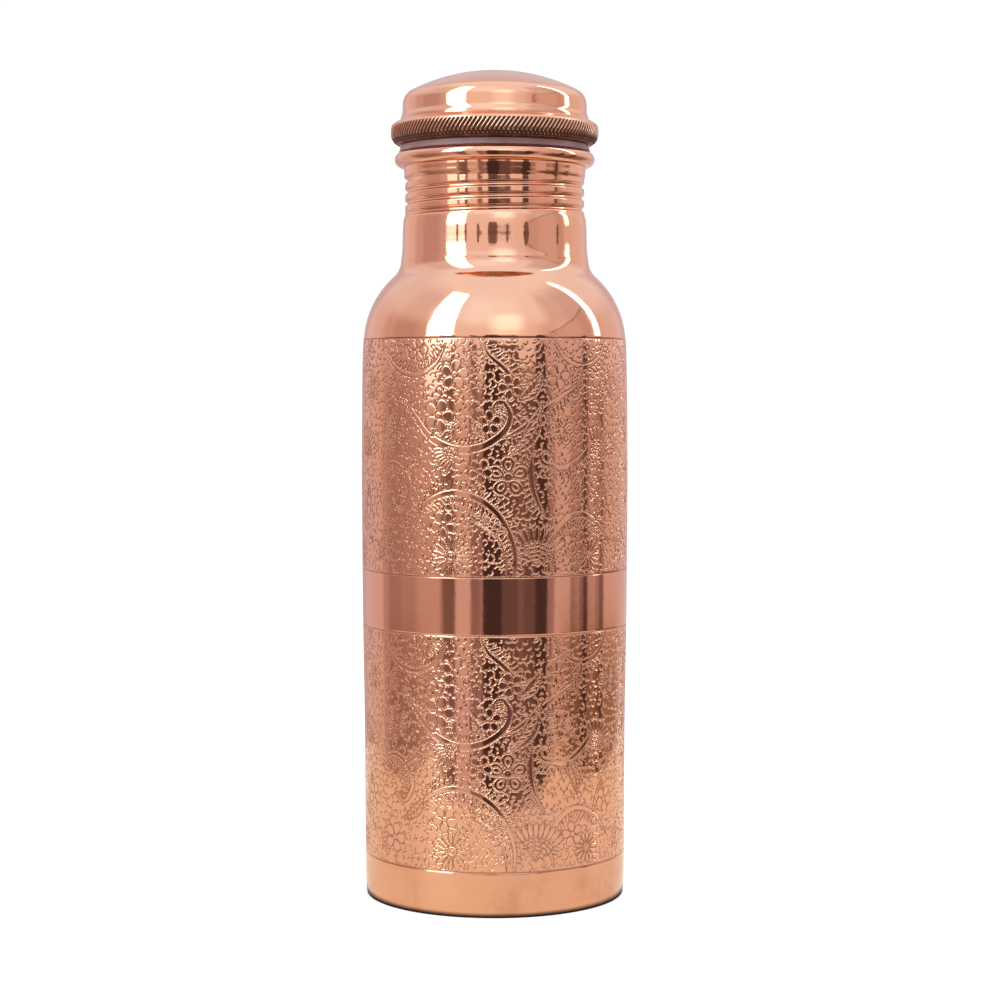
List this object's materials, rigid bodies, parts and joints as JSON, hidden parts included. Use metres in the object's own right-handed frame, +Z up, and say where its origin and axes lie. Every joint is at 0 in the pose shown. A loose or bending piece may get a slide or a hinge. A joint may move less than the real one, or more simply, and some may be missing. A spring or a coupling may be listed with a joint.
{
  "type": "copper water bottle",
  "caption": "Tall round screw-capped copper bottle with a short threaded neck, curled rim, knurled domed lid and two bands of etched floral ornament.",
  "frame": {"origin": "centre of the face that the bottle stands on", "axes": "+Z up along the bottle's axis; the bottle is round, and +X is 30 degrees ahead of the thread's lower end"},
  "size_m": [0.073, 0.073, 0.2247],
  "materials": {
    "etched_copper": "mirror-polished copper with acid-etched ornament, clear lacquered",
    "base_copper": "dull copper, pressed",
    "braze": "rough brazing metal",
    "silicone": "matt mauve-grey silicone",
    "polished_copper": "mirror-polished copper",
    "knurled_copper": "polished copper with a diagonal knurl, dark in its grooves",
    "plug_copper": "turned copper"
  },
  "bodies": {
    "bottle": {"body_shell": "etched_copper", "base_plate": "base_copper", "base_braze_bead": "braze"},
    "gasket": {"sealing_gasket": "silicone"},
    "lid": {"lid_dome": "polished_copper", "clinch_ring": "knurled_copper", "threaded_plug": "plug_copper"}
  },
  "joints": [
    {"name": "lid_lift", "type": "slide", "parent": "bottle", "child": "gasket", "axis": [0, 0, 1], "range_m": [0, 0.0233]},
    {"name": "lid_turn", "type": "hinge", "parent": "gasket", "child": "lid", "pos_m": [0, 0, 0.2], "axis": [0, 0, 1], "range_deg": [0, 2700]}
  ],
  "couplings": [
    {"joint": "lid_lift", "follows": "lid_turn", "m_per_rad": 0.00049338}
  ]
}
